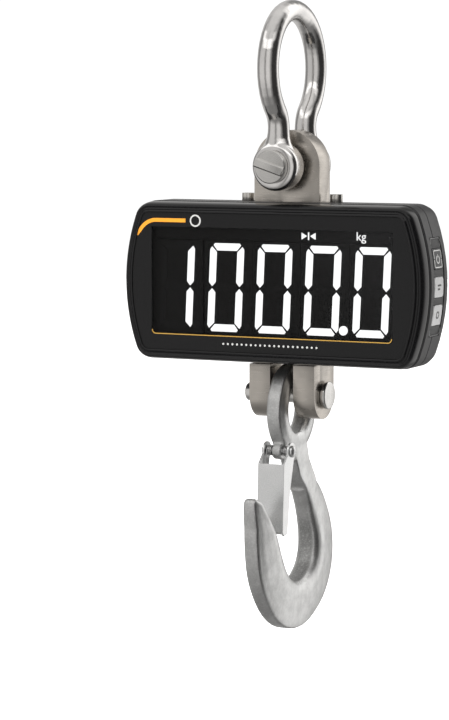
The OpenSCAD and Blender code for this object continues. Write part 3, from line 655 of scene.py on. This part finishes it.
# ---------------------------------------------------------------------------------------------
# Keypad: a grained dark panel let into the right side, with three moulded keys. The symbols are
# pad printed.
KEY_PITCH = 21.6
KEY_CORNER = 2.4
PANEL_Y = -10.0
PANEL_HALF_Y, PANEL_HALF_Z = 10.0, 37.4
panel_grey = moulded("panel_grey", (0.075, 0.075, 0.075), (0.05, 0.05, 0.05), 0.5, 0.68, 1100.0, 0.00012)
stand("side_panel", ease_edges(cad_copy("keypad_panel"), 0.3), "scale", panel_grey,
      node="keypad_panel")
key_dark = moulded("key_dark", (0.06, 0.06, 0.062), (0.045, 0.045, 0.047), 0.4, 0.52, 1600.0, 0.00005)
key_grey = moulded("key_grey", (0.5, 0.5, 0.5), (0.44, 0.44, 0.44), 0.38, 0.5, 1600.0, 0.00005)
dark_ink = printed("dark_ink", (0.03, 0.03, 0.03), (0.02, 0.02, 0.02))


def on_side(u, v, t):
    """The bulged right side of the housing: u runs backwards, v upwards."""
    reach = SIDE_R - 0.1 + t
    return SIDE_X + math.sqrt(reach * reach - (v - CASE_Z) ** 2), PANEL_Y + u, v


def rounded_frame(middle_z, half_u, half_v, corner):
    points = []
    for u, v, start in ((1, 1, 0), (-1, 1, 90), (-1, -1, 180), (1, -1, 270)):
        points += circle_points((u * (half_u - corner), middle_z + v * (half_v - corner)), corner, start,
                                start + 90, 6)
    return points


ink("panel_border", [ink_line(rounded_frame(CASE_Z, PANEL_HALF_Y, PANEL_HALF_Z, 3.0), 0.45, True)],
    on_side, printed("grey_ink", (0.2, 0.2, 0.2), (0.15, 0.15, 0.15)))
key_z = [CASE_Z + KEY_PITCH, CASE_Z, CASE_Z - KEY_PITCH]
KEYS = [
    ("key_power", "power_button", key_dark, "key_dark", pale_ink, [
        ink_line(rounded_frame(key_z[0], 7.1, 6.4, 1.6), 0.8, True),
        ink_line(circle_points((0, key_z[0] - 0.3), 3.0, 125, 415, 24), 0.9),
        ink_line([(0, key_z[0] + 0.4), (0, key_z[0] + 3.6)], 0.9)]),
    ("key_hold", "hold_button", key_grey, "key_grey", dark_ink, [
        ink_line([(-3.4, key_z[1] + 1.3), (3.4, key_z[1] + 1.3)], 1.4),
        ink_line([(-3.4, key_z[1] - 1.6), (1.2, key_z[1] - 1.6)], 1.4)]),
    ("key_zero", "zero_button", key_grey, "key_grey", dark_ink, [
        ink_line(circle_points((0, key_z[2]), 2.4), 1.2, True)])]
for node, body, look, slot, symbol_ink, symbol in KEYS:
    cap = cad_copy(node)
    corners = [e for e in cap.edges if abs((e.verts[0].co - e.verts[1].co).normalized().x) > 0.9
               and e.calc_length() > 3 * MM and e.calc_face_angle(0.0) > 1.2]
    bmesh.ops.bevel(cap, geom=corners, offset=KEY_CORNER * MM, offset_type="OFFSET", affect="EDGES",
                    segments=6, profile=0.5, material=-1)
    stand(node + "_cap", ease_edges(cap, 0.5, 3), body, look, node=node)
    ink(node + "_symbol", symbol, on_side, symbol_ink, body)

# ---------------------------------------------------------------------------------------------
# Hook: forged steel with an eye, galvanised and left satin. Its rim is rougher and painted darker as shade,
# with painted dark dashes of shade along its edges, and the bowl's inner saddle is darker still.
BOWL_Z = -411.05
HOOK_VOXEL = 0.9 * MM
hook_skin = shrink_wrap_forging(cad_copy("hook"), HOOK_VOXEL)
galvanised = finish("galvanised_forging", Metallic=1.0)
grain = galvanised.noise(galvanised.place(), 800.0, 4.0, 0.75)
skin = galvanised.noise(galvanised.place(), 90.0, 4.0, 0.7)
facing_x = galvanised.parts(galvanised.add("ShaderNodeTexCoord", output="Normal"))[0]
_, from_y, from_z = galvanised.parts(galvanised.place((0, 0, BOWL_Z * MM), (MM, MM, MM)))
bowl_r = (from_y ** 2 + from_z ** 2) ** 0.5
# Mask of the faces that turn away from the sides (rim and saddle): real roughness and bump, and in the tone
# mix a painted shade that darkens them.
rough_rim_and_painted_shade = facing_x.size().fall(0.3, 0.62) * grain.rise(0.2, 0.55)
# Darker on the bowl's inner saddle, near its bottom.
darker_saddle = bowl_r.fall(33.0, 44.0) * from_z.fall(4, 24) * rough_rim_and_painted_shade
tone = galvanised.mix(skin.rise(0.3, 0.7), (0.66, 0.665, 0.66), (0.84, 0.845, 0.84))
towards_side = facing_x.size()
# Painted shade: dark dashes along the corner where the rim turns into the side faces.
painted_edge_shade = towards_side.rise(0.5, 0.62) * towards_side.fall(0.74, 0.88) * grain.rise(0.35, 0.6)
tone = galvanised.mix(0.3 * rough_rim_and_painted_shade + 0.5 * darker_saddle + 0.4 * painted_edge_shade, tone, (0.24, 0.24, 0.235))
galvanised.feed(Base_Color=tone, Roughness=0.28 + 0.16 * grain + 0.1 * rough_rim_and_painted_shade)
galvanised.emboss(grain * (0.5 + 0.7 * rough_rim_and_painted_shade) + skin, 0.00024)
stand("hook_forging", hook_skin, "hook", galvanised, 70, "hook")

# ---------------------------------------------------------------------------------------------
# Safety latch: pressed from bright zinc-plated sheet, on a domed rivet, held shut by a spring.
LATCH_FRONT = -38.5
BEND_R = 2.6
zinc = polish("bright_zinc", (0.88, 0.88, 0.88), (0.8, 0.81, 0.81), 0.26, 0.4, 1400.0, 0.000008, wave=0.5)
pressing = cad_copy("latch", 0.2)
bends = [e for e in pressing.edges if e.calc_length() > 30 * MM and e.is_manifold
         and e.calc_face_angle(0.0) > 1.2 and max(v.co.y for v in e.verts) < LATCH_FRONT * MM
         and abs(e.verts[0].co.x) > 11 * MM]
bmesh.ops.bevel(pressing, geom=bends, offset=BEND_R * MM, offset_type="OFFSET", affect="EDGES", segments=6,
                profile=0.5, material=-1)
latch = stand("latch_pressing", ease_edges(pressing, 0.3, 2, 40), "latch", zinc, 35,
              node="latch")
latch.modifiers.new("flat_faces", "WEIGHTED_NORMAL").keep_sharp = True
stand("rivet", ease_edges(cad_copy("latch_rivet"), 0.15, 2), "hook", zinc, node="latch_rivet")
spring_wire = polish("spring_wire", (0.6, 0.6, 0.6), (0.45, 0.45, 0.45), 0.22, 0.4, 900.0, 0.00003)
dress(spring_wire, "latch_spring")
